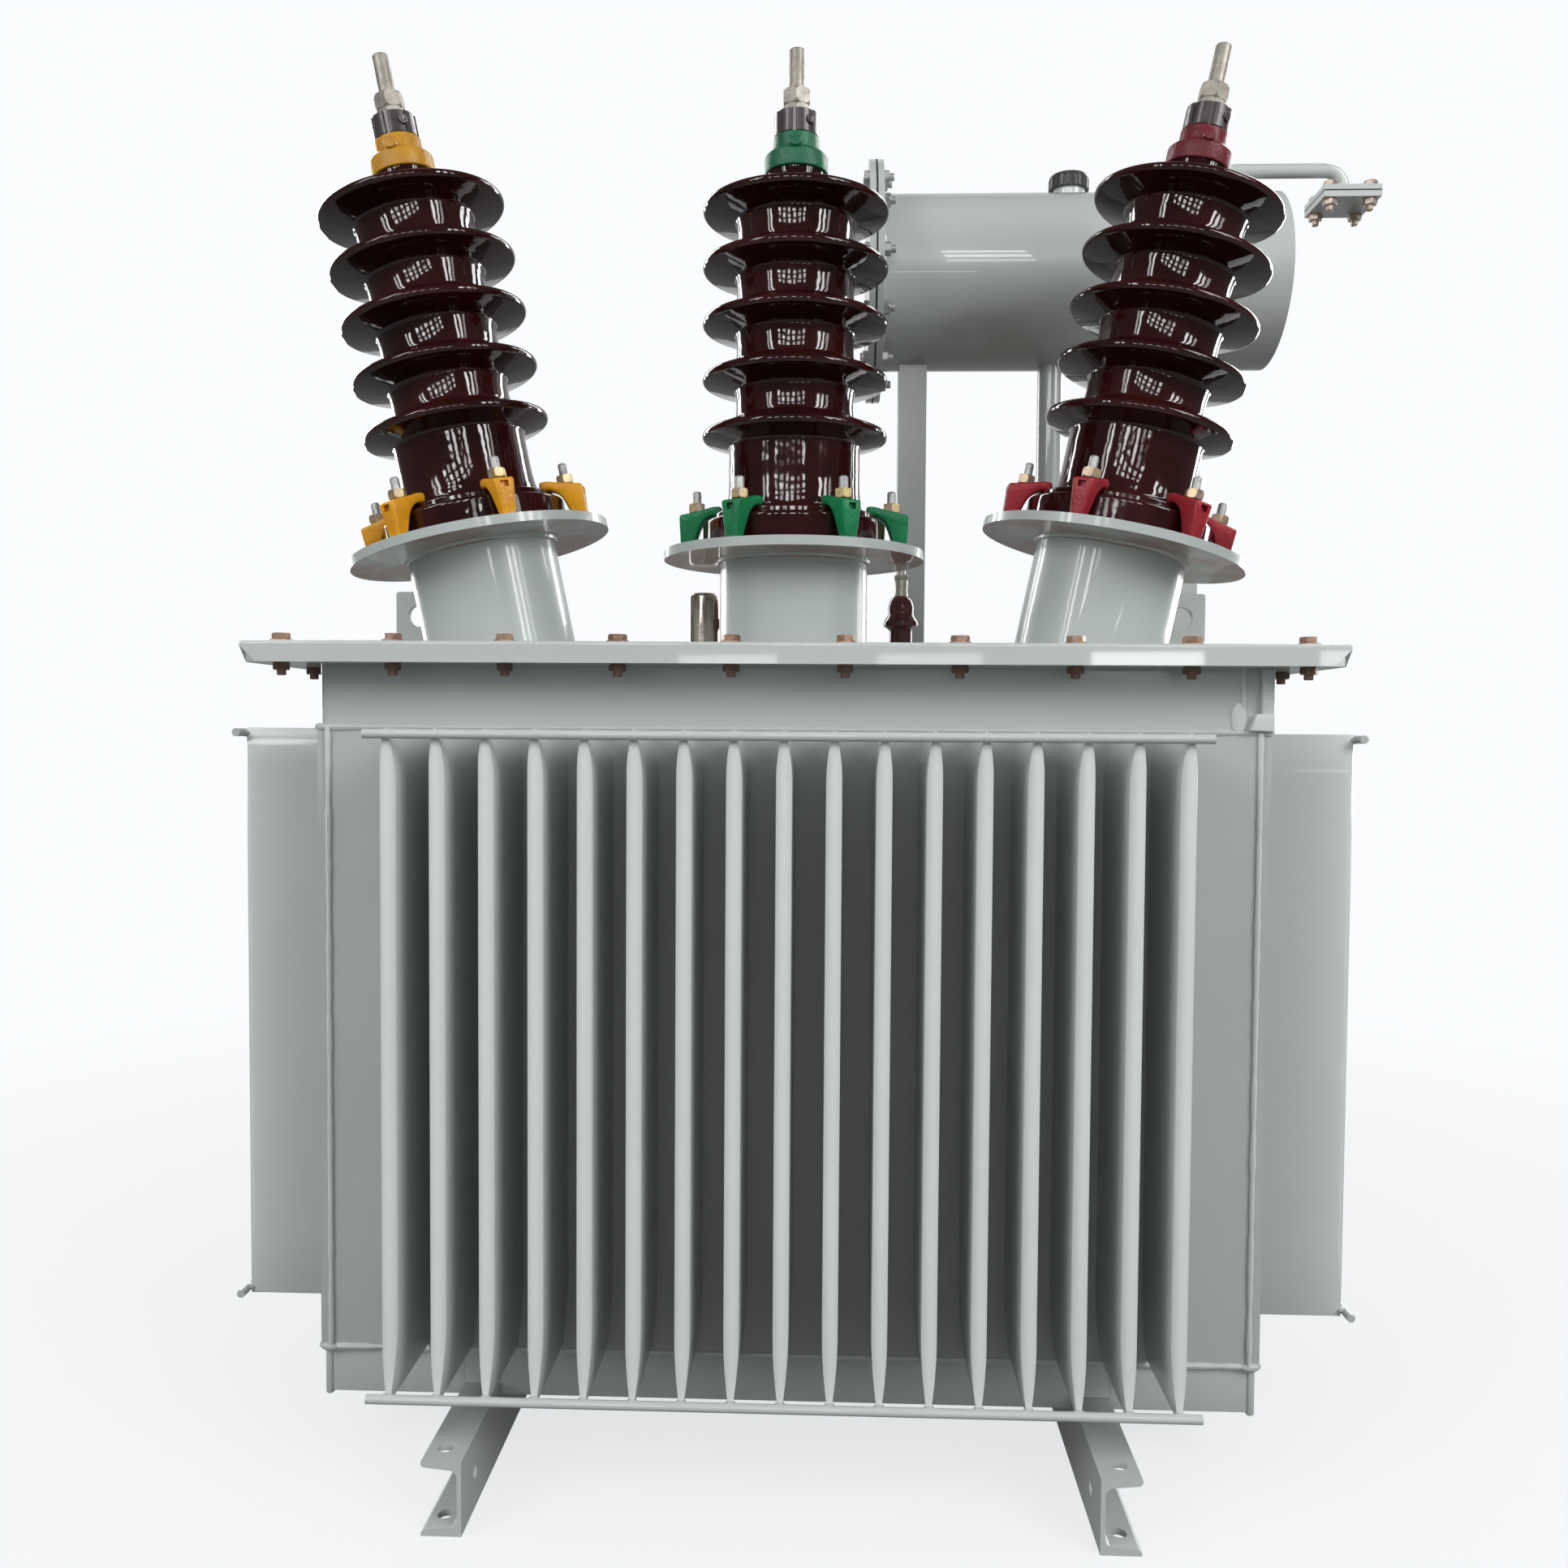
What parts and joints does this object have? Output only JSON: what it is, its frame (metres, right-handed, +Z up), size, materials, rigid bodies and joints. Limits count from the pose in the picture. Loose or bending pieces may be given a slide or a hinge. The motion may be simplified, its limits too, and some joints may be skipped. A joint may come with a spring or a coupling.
{
  "type": "power transformer",
  "caption": "Oil-filled three-phase power transformer with corrugated fin walls, porcelain bushings, a drum conservator and channel feet.",
  "frame": {"origin": "centre of the four anchor holes, on the floor plane under the channels", "axes": "+Z up, +X to the right along the long side as seen from the front, +Y to the back"},
  "size_m": [1.511, 0.85, 1.6871],
  "materials": {
    "tank_enamel": "gloss",
    "gasket_rubber": "matte",
    "brown_porcelain": "gloss",
    "yellow_paint": "gloss",
    "green_paint": "gloss",
    "red_paint": "gloss",
    "dark_sleeve": "satin",
    "tinned_metal": "satin",
    "bright_plating": "gloss",
    "black_plastic": "satin"
  },
  "bodies": {
    "root": {"breather_blank_plate": "tank_enamel", "breather_gasket_sheet": "gasket_rubber", "breather_pipe": "tank_enamel", "conservator_cover": "tank_enamel", "conservator_flange": "tank_enamel", "conservator_posts": "tank_enamel", "conservator_shell": "tank_enamel", "filler_cap": "black_plastic", "filler_neck": "tank_enamel", "front_fin_rods": "tank_enamel", "front_fin_wall": "tank_enamel", "left_bushing": "brown_porcelain", "left_bushing_clamps": "yellow_paint", "left_channel": "tank_enamel", "left_fin_rods": "tank_enamel", "left_fin_wall": "tank_enamel", "left_lifting_lug": "tank_enamel", "left_riser": "tank_enamel", "left_terminal_cap": "yellow_paint", "left_terminal_sleeve": "dark_sleeve", "left_terminal_stud": "tinned_metal", "low_voltage_bushings": "brown_porcelain", "low_voltage_studs": "tinned_metal", "middle_bushing": "brown_porcelain", "middle_bushing_clamps": "green_paint", "middle_riser": "tank_enamel", "middle_terminal_cap": "green_paint", "middle_terminal_sleeve": "dark_sleeve", "middle_terminal_stud": "tinned_metal", "oil_pipe": "tank_enamel", "rear_fin_rods": "tank_enamel", "rear_fin_wall": "tank_enamel", "relief_cap": "bright_plating", "right_bushing": "brown_porcelain", "right_bushing_clamps": "red_paint", "right_channel": "tank_enamel", "right_fin_rods": "tank_enamel", "right_fin_wall": "tank_enamel", "right_lifting_lug": "tank_enamel", "right_riser": "tank_enamel", "right_terminal_cap": "red_paint", "right_terminal_sleeve": "dark_sleeve", "right_terminal_stud": "tinned_metal", "rim_gasket": "gasket_rubber", "tank_base": "tank_enamel", "tank_collar": "tank_enamel", "tank_cover": "tank_enamel", "tank_rim": "tank_enamel"}
  },
  "joints": []
}
